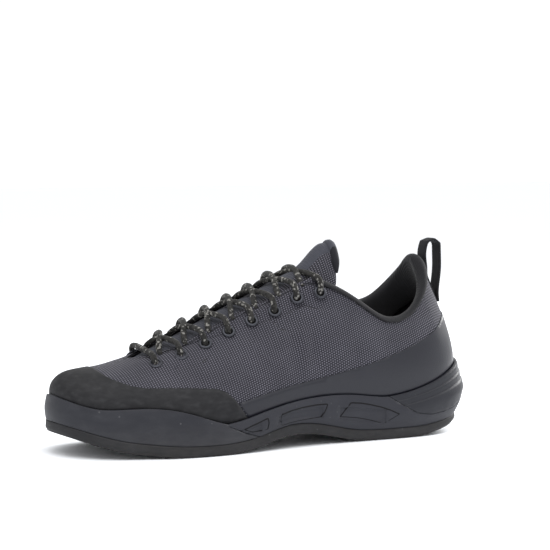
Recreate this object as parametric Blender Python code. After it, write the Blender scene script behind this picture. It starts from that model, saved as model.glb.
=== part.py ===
"""Approach shoe, left foot, standing empty on its sole.

Metres. +X is the heel, -X the toe, -Y the outer (lateral) side, +Y the inner (medial) side, +Z up.
The origin is on the floor under the middle of the shoe.
One ring of stations runs round the shoe from the heel along the lateral side to the toe and back.
Every piece reads its place from that ring, so what fits together follows the same sizes.
"""
import math
import bmesh
import bpy
import numpy as np
from mathutils import Matrix, Vector

# Driving sizes of the last and the sole
LENGTH = 0.297
BALL_WIDTH = 0.1016
HEEL_HEIGHT = 0.117
INSTEP_HEIGHT = 0.107
TOE_HEIGHT = 0.0526
BOARD_HEIGHT = 0.020
WALL_HEIGHT = 0.0315
TOE_SPRING = 0.0148
ARCH_LIFT = 0.0095
HEEL_BEVEL = 0.0105

# Thicknesses, gaps and small sizes
CLEARANCE = 0.0003
UPPER_WALL = 0.0018
FILM = 0.0008
FILM_GAP = 0.0005
OUTSOLE = 0.0068
LUG_DEPTH = 0.0030
LUG_GROOVE = 0.0010
EDGE_BAND = 0.0060
FLOOR_LEDGE = 0.0012
PANEL_DEPTH = 0.0012
RIB_STEP = 0.0009
PAD = 0.0045
PAD_DEPTH = 0.030
BINDING = 0.0012
BINDING_DROP = 0.0035
TONGUE_THICKNESS = 0.0035
TONGUE_GAP = 0.0011
INSOLE_THICKNESS = 0.004
LACE = 0.0038
EYELET_HOLE = 0.0048
EYELET_RIM = 0.0086
EYELET_HEIGHT = 0.0008
EYELET_EDGE = 0.0095
EYELET_FIRST = 0.779
EYELET_LAST = 0.405
LOOP_WIDTH = 0.010
LOOP_THICKNESS = 0.0014
LOOP_REACH = 0.0135
TREAD_BEVEL = 0.0012
FILM_RISE = 0.0012
PAD_END = 0.006
TONGUE_HEM = 0.010
TONGUE_ROLL = 0.0055
EYESTAY_LIP = 0.0015
INSOLE_EASE = 0.0006
LACE_END = 0.0012
LACE_ARCH = 0.0042
MARGIN = 0.01

# Shares: how much the heel's bevel thins the outsole, where its side turns, the sole's widest line,
# the crown and the curl of the tongue, how far a lace drifts between two eyelets
BEVEL_THINNING = 0.5
BEVEL_SHARE = 0.35
WIDEST_SHARE = 0.5
TONGUE_CROWN = 0.11
TONGUE_CURL = 0.25
LACE_DRIFT = 0.38

# Shares for small parts: how wide the outsole's band may grow, the height just under an edge, the
# collar's roll and its flap in bindings, how far down the heel the flap spreads, in drops
BAND_SHARE = 0.25
NEAR_EDGE = 0.97
COLLAR_ROLL = 1.5
FLAP_EDGE = 0.8
FLAP_SPREAD = 1.5

# Direction through the tongue's free top, and where a lace comes up, in laces: inwards and above the edge
TONGUE_LEAN = (0.5, 0.0, -0.85)
LACE_INWARDS = 1.1
LACE_RISE = 0.6

# Lugs across the sole and the two zones along it that carry them
LUGS_ACROSS = 3
LUG_ZONES = ((0.04, 0.32), (0.57, 0.88))

# The toe bumper's tail: from where to where along the sole it falls, and its height there
TAIL_FRONT = 0.668
TAIL_BACK = 0.585
TAIL_TOP = 0.60

# How finely things are divided
EYELETS = 8
EYELET_SIDES = 8
CORD_SIDES = 6
SUBSTEPS = 2
ARC_SPANS = 6
ARC_SAMPLES = 40
ROW_SNAP = 0.04
SPARE_STEPS = 4

# Where the ring's heel begins, as a share of its ribs, and the slope in degrees under which sides meet flat
RIBBED_FROM = 0.3
RIDGE_SLOPE = 30

# The last: a row for each station from heel to toe.
# share: place along the sole; medial, lateral: reach of the sole edge, shares of half the ball width.
# inset: how far the upper's lower edge lies inside the sole edge; board: its height.
# top: place of the upper's upper edge along the sole; mid, gap: middle and half width there.
# by, rise_m, rise_l: the height that the upper edge follows, and its shares.
# flank, lift: outward and upward reach of the side's curve; slope, pull: its direction and hold at the top.
LAST_COLUMNS = ("share", "medial", "lateral", "inset", "board", "top", "mid", "gap",
                "by", "rise_m", "rise_l", "flank", "lift", "slope", "pull")
LAST = (
    (0.000, 0.00, 0.00, 0.0090, 1.00, 0.112, 0.00, 0.00, "heel", 1.000, 1.000, 0.17, 0.37, 70, 0.31),
    (0.020, 0.39, 0.39, 0.0088, 1.00, 0.114, 0.00, 0.15, "heel", 0.987, 0.983, 0.17, 0.37, 70, 0.31),
    (0.050, 0.59, 0.60, 0.0090, 1.00, 0.119, 0.00, 0.28, "heel", 0.944, 0.923, 0.17, 0.37, 70, 0.31),
    (0.100, 0.71, 0.73, 0.0088, 1.00, 0.136, 0.00, 0.43, "heel", 0.872, 0.829, 0.17, 0.37, 70, 0.31),
    (0.180, 0.74, 0.78, 0.0082, 1.00, 0.185, -0.01, 0.54, "heel", 0.752, 0.700, 0.16, 0.36, 70, 0.33),
    (0.260, 0.70, 0.78, 0.0074, 1.00, 0.250, -0.01, 0.57, "heel", 0.735, 0.676, 0.16, 0.36, 72, 0.34),
    (0.340, 0.65, 0.78, 0.0070, 0.99, 0.325, -0.01, 0.54, "instep", 0.930, 0.880, 0.16, 0.36, 72, 0.33),
    (0.420, 0.62, 0.81, 0.0070, 0.94, 0.418, -0.01, 0.40, "instep", 1.028, 1.000, 0.16, 0.36, 62, 0.30),
    (0.500, 0.65, 0.88, 0.0070, 0.84, 0.490, -0.01, 0.34, "instep", 0.940, 0.900, 0.16, 0.36, 53, 0.31),
    (0.580, 0.77, 0.96, 0.0070, 0.74, 0.578, 0.00, 0.30, "instep", 0.842, 0.805, 0.17, 0.36, 45, 0.33),
    (0.660, 0.91, 1.00, 0.0070, 0.66, 0.656, 0.00, 0.28, "instep", 0.742, 0.705, 0.19, 0.36, 38, 0.35),
    (0.730, 0.99, 1.00, 0.0070, 0.66, 0.725, 0.00, 0.26, "instep", 0.653, 0.618, 0.19, 0.38, 33, 0.36),
    (0.790, 0.98, 0.95, 0.0070, 0.70, 0.782, 0.00, 0.22, "toe", 1.197, 1.152, 0.19, 0.43, 27, 0.38),
    (0.840, 0.93, 0.85, 0.0070, 0.79, 0.822, 0.02, 0.00, "toe", 1.112, 1.112, 0.19, 0.52, 0, 0.43),
    (0.885, 0.86, 0.77, 0.0070, 0.88, 0.852, 0.03, 0.00, "toe", 1.060, 1.060, 0.19, 0.59, 0, 0.42),
    (0.930, 0.75, 0.63, 0.0070, 1.00, 0.886, 0.05, 0.00, "toe", 1.028, 1.028, 0.19, 0.63, 0, 0.41),
    (0.970, 0.56, 0.42, 0.0070, 1.11, 0.915, 0.06, 0.00, "toe", 1.010, 1.010, 0.19, 0.68, 0, 0.40),
    (1.000, 0.08, -0.08, 0.0070, 1.20, 0.933, 0.07, 0.00, "toe", 1.000, 1.000, 0.19, 0.70, 0, 0.39),
)

# The sole's side at the same stations.
# spring, arch, bevel: shares of the three lifts; wall: height of the sole's upper edge;
# clip: lower edge of the heel clip; tuck, lean: how far the side falls back below and above its widest line;
# rib: strength of the heel ribs; cap, film: upper edges of the toe cap and of the heel film.
SOLE_COLUMNS = ("share", "spring", "arch", "bevel", "wall", "clip", "tuck", "lean", "rib", "cap", "film")
SOLE = (
    (0.000, 0.00, 0.00, 1.00, 1.53, 0.82, 0.0070, 0.0050, 1.0, 0.00, 0.69),
    (0.020, 0.00, 0.00, 0.90, 1.49, 0.78, 0.0065, 0.0050, 1.0, 0.00, 0.68),
    (0.050, 0.00, 0.00, 0.66, 1.41, 0.65, 0.0055, 0.0042, 1.0, 0.00, 0.65),
    (0.100, 0.00, 0.00, 0.36, 1.23, 0.51, 0.0040, 0.0034, 1.0, 0.00, 0.59),
    (0.180, 0.00, 0.00, 0.00, 1.00, 0.52, 0.0030, 0.0028, 0.8, 0.00, 0.52),
    (0.260, 0.00, 0.00, 0.00, 0.89, 0.95, 0.0025, 0.0026, 0.2, 0.00, 0.46),
    (0.340, 0.00, 0.14, 0.00, 0.99, 1.22, 0.0020, 0.0025, 0.0, 0.00, 0.41),
    (0.420, 0.00, 0.72, 0.00, 1.00, 1.30, 0.0020, 0.0025, 0.0, 0.00, 0.37),
    (0.500, 0.00, 0.94, 0.00, 0.93, 1.30, 0.0020, 0.0025, 0.0, 0.00, 0.34),
    (0.580, 0.00, 0.33, 0.00, 0.77, 1.30, 0.0018, 0.0025, 0.0, 0.50, 0.30),
    (0.660, 0.00, 0.00, 0.00, 0.61, 1.30, 0.0013, 0.0025, 0.0, 0.76, 0.25),
    (0.730, 0.00, 0.00, 0.00, 0.82, 1.30, 0.0010, 0.0020, 0.0, 0.80, 0.20),
    (0.790, 0.07, 0.00, 0.00, 0.96, 1.30, 0.0010, 0.0020, 0.0, 0.81, 0.00),
    (0.840, 0.18, 0.00, 0.00, 0.99, 1.30, 0.0010, 0.0020, 0.0, 0.82, 0.00),
    (0.885, 0.32, 0.00, 0.00, 0.98, 1.30, 0.0010, 0.0020, 0.0, 0.89, 0.00),
    (0.930, 0.56, 0.00, 0.00, 0.98, 1.30, 0.0010, 0.0020, 0.0, 1.00, 0.00),
    (0.970, 0.82, 0.00, 0.00, 1.08, 1.30, 0.0010, 0.0017, 0.0, 1.20, 0.00),
    (1.000, 1.00, 0.00, 0.00, 1.22, 1.30, 0.0010, 0.0016, 0.0, 1.20, 0.00),
)

# Ring steps where the collar meets the eyestay, where its padding and its heel wrap fade out,
# where the throat closes, where the bumper's tail and the heel clip end
COLLAR_STEPS = 14
COLLAR_FADE = 4
HEEL_WRAP = 7
THROAT_STEP = 26
TAIL_STEP = 17
CLIP_STEP = 10

# Where the two films meet along the side, below and above, and half their gap there, in ring steps
JOINT = (18.65, 19.3)
JOINT_GAP = 0.03

STATIONS = len(LAST)
SIDE_STEPS = (STATIONS - 1) * SUBSTEPS
RING_STEPS = 2 * SIDE_STEPS
HEIGHTS = {"heel": HEEL_HEIGHT, "instep": INSTEP_HEIGHT, "toe": TOE_HEIGHT}
HALF_BALL = BALL_WIDTH / 2
UP = np.array((0.0, 0.0, 1.0))


def along(share):
    """X of a share of the length, counted from the heel."""
    return LENGTH * (0.5 - share)


# The ring's own columns, worked out in metres for one side of one station
RING_COLUMNS = ("x", "y", "inset", "board", "top_x", "top_mid", "gap", "top_z", "flank", "lift", "slope",
                "pull", "tread", "wall", "clip", "tuck", "lean", "rib", "cap", "film")


def station(index, side):
    """One row of the ring; side is -1 for lateral and 1 for medial."""
    last = dict(zip(LAST_COLUMNS, LAST[index]))
    sole = dict(zip(SOLE_COLUMNS, SOLE[index]))
    reach = last["medial"] if side > 0 else last["lateral"]
    rise = last["rise_m"] if side > 0 else last["rise_l"]
    tread = TOE_SPRING * sole["spring"] + ARCH_LIFT * sole["arch"] + HEEL_BEVEL * sole["bevel"]
    return (along(last["share"]), side * HALF_BALL * reach, last["inset"], BOARD_HEIGHT * last["board"],
            along(last["top"]), HALF_BALL * last["mid"], side * HALF_BALL * last["gap"],
            HEIGHTS[last["by"]] * rise, HALF_BALL * last["flank"], last["lift"], last["slope"],
            last["pull"], tread, WALL_HEIGHT * sole["wall"], WALL_HEIGHT * sole["clip"], sole["tuck"],
            sole["lean"], sole["rib"], TOE_HEIGHT * sole["cap"], HEEL_HEIGHT * sole["film"])


def ring_rows():
    """The closed ring of stations: lateral side from heel to toe, then the medial side back."""
    rows = [station(index, -1) for index in range(STATIONS)]
    rows += [station(index, 1) for index in range(STATIONS - 2, 0, -1)]
    return np.array(rows)


ROWS = ring_rows()
MIRRORED = (ROWS + np.roll(ROWS[::-1], 1, axis=0) * np.array([-1.0 if c in ("y", "gap") else 1.0
                                                              for c in RING_COLUMNS])) / 2
GAPS = np.linalg.norm(np.roll(MIRRORED, -1, axis=0)[:, :2] - MIRRORED[:, :2], axis=1)
SLOPES = (np.roll(ROWS, -1, axis=0) - ROWS) / GAPS[:, None]
BEFORE = np.roll(GAPS, 1)[:, None]
TANGENTS = (np.roll(SLOPES, 1, axis=0) * GAPS[:, None] + SLOPES * BEFORE) / (GAPS[:, None] + BEFORE)


def ring(step):
    """The ring's columns at a step, smoothly between stations; whole steps are the mesh columns."""
    place = (step % RING_STEPS) / SUBSTEPS
    index = int(place) % len(ROWS)
    after = (index + 1) % len(ROWS)
    t = place - int(place)
    h = GAPS[index]
    row = ((2 * t ** 3 - 3 * t ** 2 + 1) * ROWS[index] + (t ** 3 - 2 * t ** 2 + t) * h * TANGENTS[index]
           + (3 * t ** 2 - 2 * t ** 3) * ROWS[after] + (t ** 3 - t ** 2) * h * TANGENTS[after])
    return dict(zip(RING_COLUMNS, row))


def side_of(step):
    """-1 on the lateral half of the ring, 1 on the medial half."""
    return -1.0 if step % RING_STEPS <= SIDE_STEPS else 1.0


def outward(step):
    """Unit vector in plan, square to the sole edge and away from the shoe."""
    a, b = ring(step - 0.25), ring(step + 0.25)
    run = np.array((b["x"] - a["x"], b["y"] - a["y"], 0.0))
    square = np.array((run[1], -run[0], 0.0)) / np.linalg.norm(run)
    return -square


def edge(step, inset, height):
    """A point at a height, the inset inside the sole edge."""
    row = ring(step)
    return np.array((row["x"], row["y"], height)) - inset * outward(step)


def arc(step):
    """The upper's outer face at a ring step: a fine run of points from its lower to its upper edge."""
    row = ring(step)
    out = outward(step)
    side = side_of(step)
    foot = edge(step, row["inset"], row["board"])
    opening = max(0.0, row["gap"] * side) * side
    ridge = not opening and row["slope"] < RIDGE_SLOPE
    top_z = (row["top_z"] + ring(RING_STEPS - step)["top_z"]) / 2 if ridge else row["top_z"]
    head = np.array((row["top_x"], row["top_mid"] + opening, top_z))
    rise = head[2] - foot[2]
    reach = np.linalg.norm(head - foot)
    slope = 0.0 if ridge else math.radians(row["slope"])
    low = foot + row["flank"] * out + row["lift"] * rise * UP
    high = head + row["pull"] * reach * (math.cos(slope) * out - math.sin(slope) * UP)
    t = np.linspace(0.0, 1.0, ARC_SAMPLES + 1)[:, None]
    return (1 - t) ** 3 * foot + 3 * t * (1 - t) ** 2 * low + 3 * t ** 2 * (1 - t) * high + t ** 3 * head


def lengths(points):
    """Distance along a run of points."""
    steps = np.linalg.norm(np.diff(points, axis=0), axis=1)
    return np.concatenate(((0.0,), np.cumsum(steps)))


ARCS = {}


def known_arc(step):
    """The arc of a step with its running length, kept once worked out."""
    key = round(step % RING_STEPS, 6)
    if key not in ARCS:
        points = arc(step)
        ARCS[key] = (points, lengths(points))
    return ARCS[key]


def smooth_point(step, share):
    """A point of the smooth outer face; share runs from 0 below to 1 at its upper edge."""
    points, run = known_arc(step)
    at = share * run[-1]
    return np.array([np.interp(at, run, points[:, axis]) for axis in range(3)])


def is_ridge(step, share):
    """Whether a point lies on the closed middle line over the toes."""
    row = ring(step)
    return share > 0.999 and row["gap"] * side_of(step) < 1e-6 and row["slope"] < RIDGE_SLOPE


def ridge_point(step):
    """A point of the middle line over the toes, the same from both sides."""
    row, other = ring(step), ring(RING_STEPS - step)
    return np.array((row["top_x"], 0.0, (row["top_z"] + other["top_z"]) / 2))


def skin_normal(step, share):
    """Outward normal of the upper's outer face."""
    if is_ridge(step, share):
        ridge = ridge_point(step + 0.2) - ridge_point(step - 0.2)
        if abs(ridge[0]) < 1e-7:
            return UP
        ridge /= np.linalg.norm(ridge)
        normal = UP - UP.dot(ridge) * ridge
        return normal / np.linalg.norm(normal)
    tiny = 0.02
    rise = smooth_point(step, min(1.0, share + tiny)) - smooth_point(step, max(0.0, share - tiny))
    run = smooth_point(step + 0.2, share) - smooth_point(step - 0.2, share)
    normal = np.cross(rise, run)
    normal /= np.linalg.norm(normal)
    return normal if normal.dot(outward(step)) > 0 else -normal


def share_at_height(step, height):
    """Share of the arc that first reaches a height."""
    points, run = known_arc(step)
    if height <= points[0, 2]:
        return 0.0
    if height >= points[-1, 2]:
        return 1.0
    return float(np.interp(height, points[:, 2], run)) / run[-1]


def share_from_top(step, distance):
    """Share of the arc at a distance down from its upper edge."""
    run = known_arc(step)[1]
    return 1.0 - distance / run[-1]


def row_shares(step):
    """Shares of the mesh rows: the lower edge, the sole's edge, then even spans to the upper edge."""
    crest = share_at_height(step, ring(step)["wall"])
    return [0.0] + [crest + (1.0 - crest) * k / ARC_SPANS for k in range(ARC_SPANS + 1)]


COLUMNS = {}


def column(step, offset):
    """One mesh column of the upper's outer face, moved outwards by an offset."""
    key = (step % RING_STEPS, round(offset, 7))
    if key not in COLUMNS:
        shares = row_shares(step)
        points = [smooth_point(step, s) + offset * skin_normal(step, s) for s in shares]
        COLUMNS[key] = (shares, np.array(points))
    return COLUMNS[key]


def on_column(step, share, offset):
    shares, points = column(step, offset)
    return np.array([np.interp(share, shares, points[:, axis]) for axis in range(3)])


def skin(step, share, offset=0.0):
    """A point of the faceted outer face, moved outwards by an offset."""
    low = math.floor(step)
    part = step - low
    if part < 1e-9:
        return on_column(low, share, offset)
    return (1 - part) * on_column(low, share, offset) + part * on_column(low + 1, share, offset)


for old in list(bpy.data.objects):
    bpy.data.objects.remove(old)


def finish(name, colour, roughness, metallic=0.0):
    """A material with one colour, roughness and metallic value."""
    made = bpy.data.materials.new(name)
    made.use_nodes = True
    shader = made.node_tree.nodes["Principled BSDF"]
    shader.inputs["Base Color"].default_value = (*colour, 1.0)
    shader.inputs["Roughness"].default_value = roughness
    shader.inputs["Metallic"].default_value = metallic
    return made


RUBBER = finish("outsole_rubber", (0.020, 0.021, 0.023), 0.7)
FOAM = finish("midsole_foam", (0.040, 0.043, 0.050), 0.6)
BUMPER = finish("bumper_rubber", (0.032, 0.034, 0.040), 0.55)
CLOTH = finish("woven_cloth", (0.075, 0.080, 0.105), 0.8)
COAT = finish("film", (0.045, 0.048, 0.058), 0.45)
KNIT = finish("knit", (0.012, 0.012, 0.014), 0.9)
CORD = finish("lace_cord", (0.050, 0.048, 0.045), 0.85)
METAL = finish("eyelet_metal", (0.080, 0.070, 0.060), 0.4, 0.9)


def place(name, mesh, made, flat=False):
    """Turn a bmesh into a named object of triangles, split alike in neighbouring pieces, facing outwards."""
    bmesh.ops.remove_doubles(mesh, verts=mesh.verts, dist=1e-6)
    bmesh.ops.triangulate(mesh, faces=mesh.faces, quad_method="FIXED")
    bmesh.ops.recalc_face_normals(mesh, faces=mesh.faces)
    data = bpy.data.meshes.new(name)
    mesh.to_mesh(data)
    mesh.free()
    if not flat:
        data.shade_smooth()
        data.set_sharp_from_angle(angle=math.radians(40))
    thing = bpy.data.objects.new(name, data)
    bpy.context.collection.objects.link(thing)
    if made:
        data.materials.append(made)
    return thing


def hide(thing):
    """Keep a cutter out of the model."""
    thing.hide_render = True
    thing.display_type = "WIRE"
    return thing


def cut(thing, cutter, operation):
    """Boolean of one object with a hidden cutter."""
    modifier = thing.modifiers.new(cutter.name, "BOOLEAN")
    modifier.operation = operation
    modifier.solver = "EXACT"
    modifier.object = cutter


def panel(mesh, corners):
    """A face through corners of which some may be the same."""
    kept = [v for n, v in enumerate(corners) if v not in corners[:n]]
    if len(kept) > 2:
        mesh.faces.new(kept)


def weave(mesh, sections, closed):
    """Join a row of equal sections with faces; each section is a closed outline."""
    rows = [[mesh.verts.new(point) for point in section] for section in sections]
    pairs = list(zip(rows, rows[1:])) + ([(rows[-1], rows[0])] if closed else [])
    for first, second in pairs:
        for index in range(len(first)):
            after = (index + 1) % len(first)
            mesh.faces.new((first[index], first[after], second[after], second[index]))
    if not closed:
        mesh.faces.new(rows[0])
        mesh.faces.new(reversed(rows[-1]))
    return rows


def ladder(mesh, loop):
    """Fill a ring loop by strips from its lateral to its medial side."""
    for step in range(SIDE_STEPS):
        panel(mesh, (loop[step], loop[step + 1], loop[RING_STEPS - step - 1], loop[-step]))


def levels(mesh, loops):
    """Join closed ring loops one above the other."""
    rings = [[mesh.verts.new(point) for point in loop] for loop in loops]
    for low, high in zip(rings, rings[1:]):
        for step in range(RING_STEPS):
            after = (step + 1) % RING_STEPS
            mesh.faces.new((low[after], high[after], high[step], low[step]))
    return rings


def column_between(step, offset):
    """Points of a mesh column, blended from its two neighbours where the step isn't whole."""
    low = math.floor(step)
    part = step - low
    first = column(low, offset)[1]
    return first if part < 1e-9 else (1 - part) * first + part * column(low + 1, offset)[1]


def row_at(step, height):
    """Place among a column's rows at which it reaches a height."""
    points = column_between(step, 0.0)
    return float(np.interp(height, points[:, 2], np.arange(len(points))))


def wall(name, steps, low, high, offsets, made, closed=False):
    """A closed wall between two offsets of the upper's outer face, from one height to another.

    steps holds a lower and an upper ring step for each column; a column leans where they differ.
    """
    mesh = bmesh.new()
    columns = []
    for lower, upper in steps:
        first, last = row_at(lower, low(lower)), row_at(upper, high(upper))
        rows = [first]
        for k in range(1, ARC_SPANS + 1):
            rows.append(first if k < first + ROW_SNAP else last if k > last - ROW_SNAP else float(k))
        rows.append(last)
        sheets = []
        for offset in offsets:
            verts = {}
            for row in sorted(set(rows)):
                step = lower + (upper - lower) * (row - first) / (last - first)
                points = column_between(step, offset)
                verts[row] = mesh.verts.new([np.interp(row, np.arange(len(points)), points[:, axis])
                                             for axis in range(3)])
            sheets.append([verts[row] for row in rows])
        columns.append((sheets[0], sheets[1], last > ARC_SPANS + 0.999 and is_ridge(upper, 1.0)))
    spans = range(ARC_SPANS + 1)
    for a, b in list(zip(columns, columns[1:])) + ([(columns[-1], columns[0])] if closed else []):
        for k in spans:
            panel(mesh, (a[0][k], b[0][k], b[0][k + 1], a[0][k + 1]))
            panel(mesh, (a[1][k], a[1][k + 1], b[1][k + 1], b[1][k]))
        panel(mesh, (a[0][0], a[1][0], b[1][0], b[0][0]))
        if not (a[2] and b[2]):
            panel(mesh, (a[0][-1], b[0][-1], b[1][-1], a[1][-1]))
    if not closed:
        for end in (columns[0], columns[-1]):
            for k in spans:
                panel(mesh, (end[0][k], end[0][k + 1], end[1][k + 1], end[1][k]))
    return place(name, mesh, made)


def tread(step):
    """Height of the walking face at the sole edge."""
    return max(0.0, ring(step)["tread"])


def line(step):
    """Height of the outsole's upper face at the sole edge; the heel's bevel thins it."""
    row = ring(step)
    thinned = BEVEL_THINNING * row["tread"] / HEEL_BEVEL if row["rib"] > RIBBED_FROM else 0.0
    return tread(step) + OUTSOLE * (1.0 - thinned)


def make_outsole():
    """Rubber slab with an edging band and rows of lugs under heel and forefoot."""
    mesh = bmesh.new()
    steps = range(RING_STEPS)
    foot = [edge(s, ring(s)["tuck"] + TREAD_BEVEL, tread(s)) for s in steps]
    flank = [edge(s, ring(s)["tuck"], tread(s) + BEVEL_SHARE * (line(s) - tread(s))) for s in steps]
    top = [edge(s, ring(s)["tuck"] + CLEARANCE, line(s)) for s in steps]
    rings = levels(mesh, (foot, flank, top))
    ladder(mesh, rings[-1])
    border = rings[0]
    rows = []
    for s in range(1, SIDE_STEPS):
        a, b = border[s], border[RING_STEPS - s]
        width = (b.co - a.co).length
        edging = min(EDGE_BAND, BAND_SHARE * width)
        inner = [edging + (width - 2 * edging) * k / LUGS_ACROSS for k in range(LUGS_ACROSS + 1)]
        rows.append([a] + [mesh.verts.new(a.co.lerp(b.co, w / width)) for w in inner] + [b])
    for corner, row in ((border[0], rows[0]), (border[SIDE_STEPS], rows[-1])):
        for k in range(len(row) - 1):
            mesh.faces.new((corner, row[k], row[k + 1]))
    lugs = []
    for row, after in zip(rows, rows[1:]):
        for k in range(len(row) - 1):
            face = mesh.faces.new((row[k], row[k + 1], after[k + 1], after[k]))
            share = 0.5 - face.calc_center_median().x / LENGTH
            if 0 < k < LUGS_ACROSS + 1 and any(first < share < last for first, last in LUG_ZONES):
                lugs.append(face)
    bmesh.ops.recalc_face_normals(mesh, faces=mesh.faces)
    made = bmesh.ops.extrude_face_region(mesh, geom=lugs)["geom"]
    bmesh.ops.delete(mesh, geom=lugs, context="FACES")
    bmesh.ops.translate(mesh, verts=[g for g in made if isinstance(g, bmesh.types.BMVert)],
                        vec=(0, 0, LUG_DEPTH))
    floors = [g for g in made if isinstance(g, bmesh.types.BMFace)]
    bmesh.ops.inset_individual(mesh, faces=floors, thickness=LUG_GROOVE, use_even_offset=True)
    pushed = bmesh.ops.extrude_discrete_faces(mesh, faces=floors)["faces"]
    bmesh.ops.translate(mesh, verts=[v for f in pushed for v in f.verts], vec=(0, 0, -LUG_DEPTH))
    place("outsole", mesh, RUBBER, flat=True)


# The sole's side from below: shares of tuck, lean and rib that set it inwards, and the height,
# 0 to 1 from its foot to its widest line and 1 to 2 from there to its upper edge
SIDE_COLUMNS = ("tuck", "lean", "rib", "height")
SIDE = (
    (1.0, 0.00, 0, 0.00),
    (0.4, 0.00, 0, 0.40),
    (0.0, 0.00, 0, 1.00),
    (0.0, 0.25, 0, 1.30),
    (0.0, 0.30, 1, 1.36),
    (0.0, 0.55, 0, 1.62),
    (0.0, 0.60, 1, 1.68),
    (0.0, 0.85, 0, 1.92),
    (0.0, 1.00, 0, 2.00),
)


def sole_side(ribbed):
    """The whole side of the sole with the well for the upper; it is then cut into its pieces."""
    mesh = bmesh.new()
    shape = [dict(zip(SIDE_COLUMNS, row)) for row in SIDE]
    shape = shape if ribbed else [part for part in shape if not part["rib"]]
    loops = [[] for _ in range(len(shape) + 2)]
    for s in range(RING_STEPS):
        row = ring(s)
        base = line(s) + CLEARANCE
        widest = base + WIDEST_SHARE * (row["wall"] - base)
        rib = RIB_STEP * max(0.0, row["rib"])
        for loop, part in zip(loops, shape):
            inset = part["tuck"] * row["tuck"] + part["lean"] * row["lean"] + part["rib"] * rib
            height = np.interp(part["height"], (0.0, 1.0, 2.0), (base, widest, row["wall"]))
            loop.append(edge(s, inset + CLEARANCE, height))
        foot, well = column(s, CLEARANCE)[1][:2]
        loops[-2].append(well)
        loops[-1].append((foot[0], foot[1], row["board"] - CLEARANCE))
    rings = levels(mesh, loops)
    ladder(mesh, rings[0])
    ladder(mesh, rings[-1])
    bmesh.ops.recalc_face_normals(mesh, faces=mesh.faces)
    return mesh, rings


# The side panels of the midsole, as shares of the length from the heel
PANELS = ((0.250, 0.400), (0.420, 0.550), (0.570, 0.640))


def recess_panels(mesh, rings):
    """Sink the side panels of the midsole between its lower bevel and its shoulder."""
    low, middle, high = rings[1:4]
    for first, last in PANELS:
        for side in (-1, 1):
            chosen = []
            for s in range(RING_STEPS):
                after = (s + 1) % RING_STEPS
                share = 0.5 - (ring(s)["x"] + ring(after)["x"]) / 2 / LENGTH
                if not (first < share < last and side_of(s + 0.5) == side):
                    continue
                for a, b in ((low, middle), (middle, high)):
                    chosen.append(next(f for f in a[s].link_faces if a[after] in f.verts and b[s] in f.verts))
            bmesh.ops.inset_region(mesh, faces=chosen, thickness=PANEL_DEPTH, depth=-PANEL_DEPTH,
                                   use_even_offset=True, use_boundary=True)


def under(_step):
    return -MARGIN


def over(_step):
    return LENGTH


def tail_height(step):
    """Upper edge of the toe bumper's tail, which falls back under the front of the midsole."""
    x = ring(step)["x"]
    if x < along(TAIL_FRONT):
        return over(step)
    share = (x - along(TAIL_FRONT)) / (along(TAIL_BACK) - along(TAIL_FRONT))
    return TAIL_TOP * WALL_HEIGHT + share * (line(step) - TAIL_TOP * WALL_HEIGHT)


def tail_room(step):
    return tail_height(step) + CLEARANCE


def clip_height(step):
    return ring(step)["clip"]


def clip_room(step):
    return ring(step)["clip"] - CLEARANCE


def band(name, steps, low, high, grow):
    """A cutter that follows the sole edge, from just inside the well outwards."""
    sections = []
    for s in steps:
        inner = ring(s)["inset"] + FLOOR_LEDGE + grow
        sections.append((edge(s, inner, low(s)), edge(s, -MARGIN, low(s)),
                         edge(s, -MARGIN, high(s)), edge(s, inner, high(s))))
    mesh = bmesh.new()
    weave(mesh, sections, closed=False)
    return hide(place(name, mesh, None))


def make_sole_layers():
    """Midsole, toe bumper and heel clip, cut from one side shape with a gap between them."""
    front = list(range(TAIL_STEP, RING_STEPS - TAIL_STEP + 1))
    heel = list(range(-CLIP_STEP, CLIP_STEP + 1))
    toe_cut = band("toe_cutter", front, under, tail_height, 0.0)
    toe_room = band("toe_room", front, under, tail_room, CLEARANCE)
    heel_cut = band("heel_cutter", heel, clip_height, over, 0.0)
    heel_room = band("heel_room", heel, clip_room, over, CLEARANCE)
    mesh, rings = sole_side(ribbed=False)
    recess_panels(mesh, rings)
    midsole = place("midsole", mesh, FOAM)
    cut(midsole, toe_room, "DIFFERENCE")
    cut(midsole, heel_room, "DIFFERENCE")
    bumper = place("toe_bumper", sole_side(ribbed=False)[0], BUMPER)
    cut(bumper, toe_cut, "INTERSECT")
    clipped = place("heel_clip", sole_side(ribbed=True)[0], BUMPER)
    cut(clipped, heel_cut, "INTERSECT")


def eyelet_step(number):
    """Ring step at which eyelet number lies, counted from the toe."""
    share = EYELET_FIRST + (EYELET_LAST - EYELET_FIRST) * (number - 1) / (EYELETS - 1)
    steps = np.arange(COLLAR_STEPS - SPARE_STEPS, THROAT_STEP + 1)
    tops = [ring(step)["top_x"] for step in steps]
    return float(np.interp(-along(share), -np.array(tops), steps))


def eyelet_frame(number, side):
    """Middle of an eyelet on the upper's outer face and the outward direction there."""
    step = eyelet_step(number)
    step = step if side < 0 else RING_STEPS - step
    share = share_from_top(step, EYELET_EDGE)
    return Vector(skin(step, share)), Vector(skin_normal(step, share))


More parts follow.
